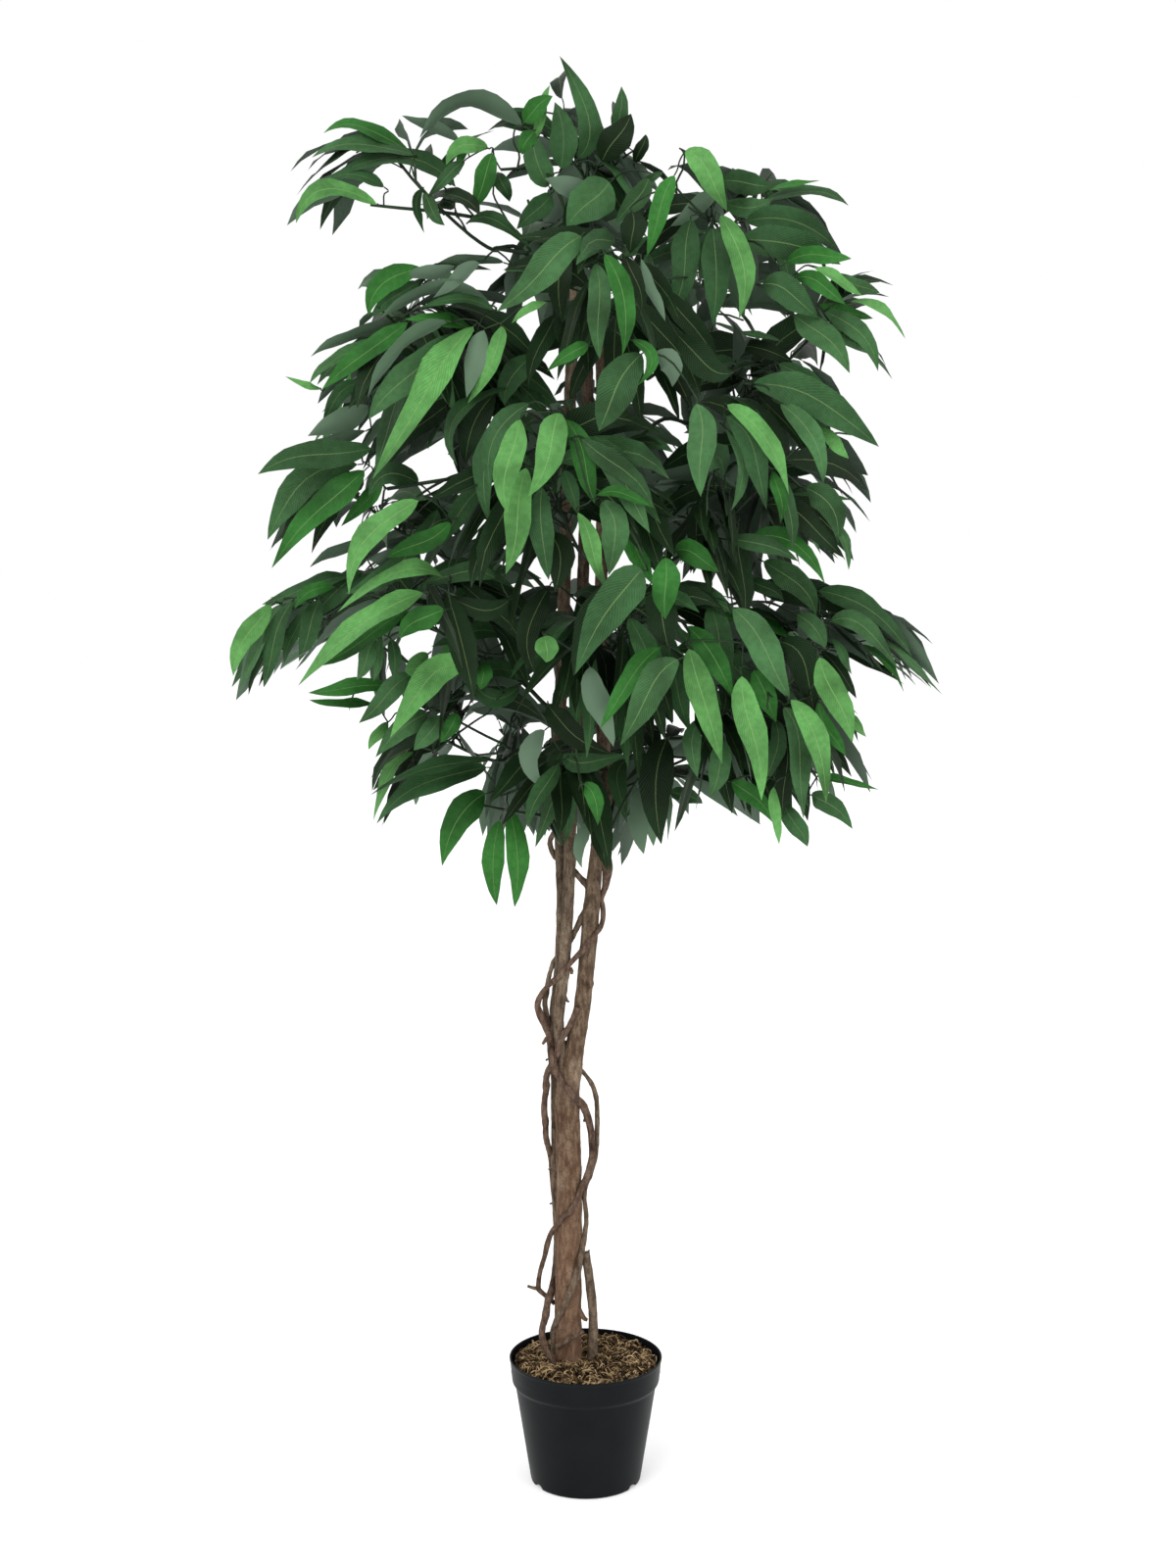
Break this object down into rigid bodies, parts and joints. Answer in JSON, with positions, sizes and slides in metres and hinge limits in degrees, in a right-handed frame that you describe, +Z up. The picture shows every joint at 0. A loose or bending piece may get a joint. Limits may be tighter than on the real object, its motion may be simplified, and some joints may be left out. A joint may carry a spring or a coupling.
{
  "type": "artificial mango tree in a pot",
  "caption": "Artificial mango tree: wooden poles twined with lianas in a filled black nursery pot, with plastic boughs and masses of drooping cloth leaves.",
  "frame": {"origin": "centre of the pot's flat underside", "axes": "+Z up along the pot's axis, -Y towards the viewer of the picture, +X to the viewer's right"},
  "size_m": [0.9008, 0.7354, 1.7993],
  "materials": {
    "black_plastic": "satin moulded plastic, slightly lighter band",
    "cement": "rough cast",
    "moss": "dry fibrous moss",
    "red_bark": "rough reddish-brown bark",
    "grey_bark": "rough grey-brown bark",
    "green_stem": "satin dark green",
    "leaf": "printed cloth with pale veins"
  },
  "bodies": {
    "root": {"bough_back_left_mid": "green_stem", "bough_back_left_upper": "green_stem", "bough_back_right_mid": "green_stem", "bough_back_right_top": "green_stem", "bough_back_right_upper": "green_stem", "bough_back_top": "green_stem", "bough_back_upper": "green_stem", "bough_front_left": "green_stem", "bough_front_mid": "green_stem", "bough_front_right": "green_stem", "bough_front_upper": "green_stem", "bough_left_bottom": "green_stem", "bough_left_low": "green_stem", "bough_left_mid": "green_stem", "bough_left_upper": "green_stem", "bough_right_low": "green_stem", "bough_right_mid": "green_stem", "bough_right_upper": "green_stem", "bough_top_left": "green_stem", "bough_top_right": "green_stem", "filling": "cement", "leaves_back_left_low": "leaf", "leaves_back_left_mid": "leaf", "leaves_back_left_upper": "leaf", "leaves_back_mid": "leaf", "leaves_back_right_low": "leaf", "leaves_back_right_mid": "leaf", "leaves_back_right_top": "leaf", "leaves_back_right_upper": "leaf", "leaves_back_top": "leaf", "leaves_back_upper": "leaf", "leaves_front_left": "leaf", "leaves_front_low": "leaf", "leaves_front_mid": "leaf", "leaves_front_right": "leaf", "leaves_front_upper": "leaf", "leaves_left_bottom": "leaf", "leaves_left_low": "leaf", "leaves_left_mid": "leaf", "leaves_left_tail": "leaf", "leaves_left_upper": "leaf", "leaves_right_low": "leaf", "leaves_right_mid": "leaf", "leaves_right_upper": "leaf", "leaves_top": "leaf", "leaves_top_left": "leaf", "leaves_top_right": "leaf", "leaves_under_front": "leaf", "leaves_under_right": "leaf", "left_pole": "grey_bark", "liana_cut": "grey_bark", "liana_grey": "grey_bark", "liana_main": "grey_bark", "liana_outer": "grey_bark", "middle_pole": "grey_bark", "moss_cover": "moss", "peg": "red_bark", "pot": "black_plastic", "trunk": "red_bark"}
  },
  "joints": []
}
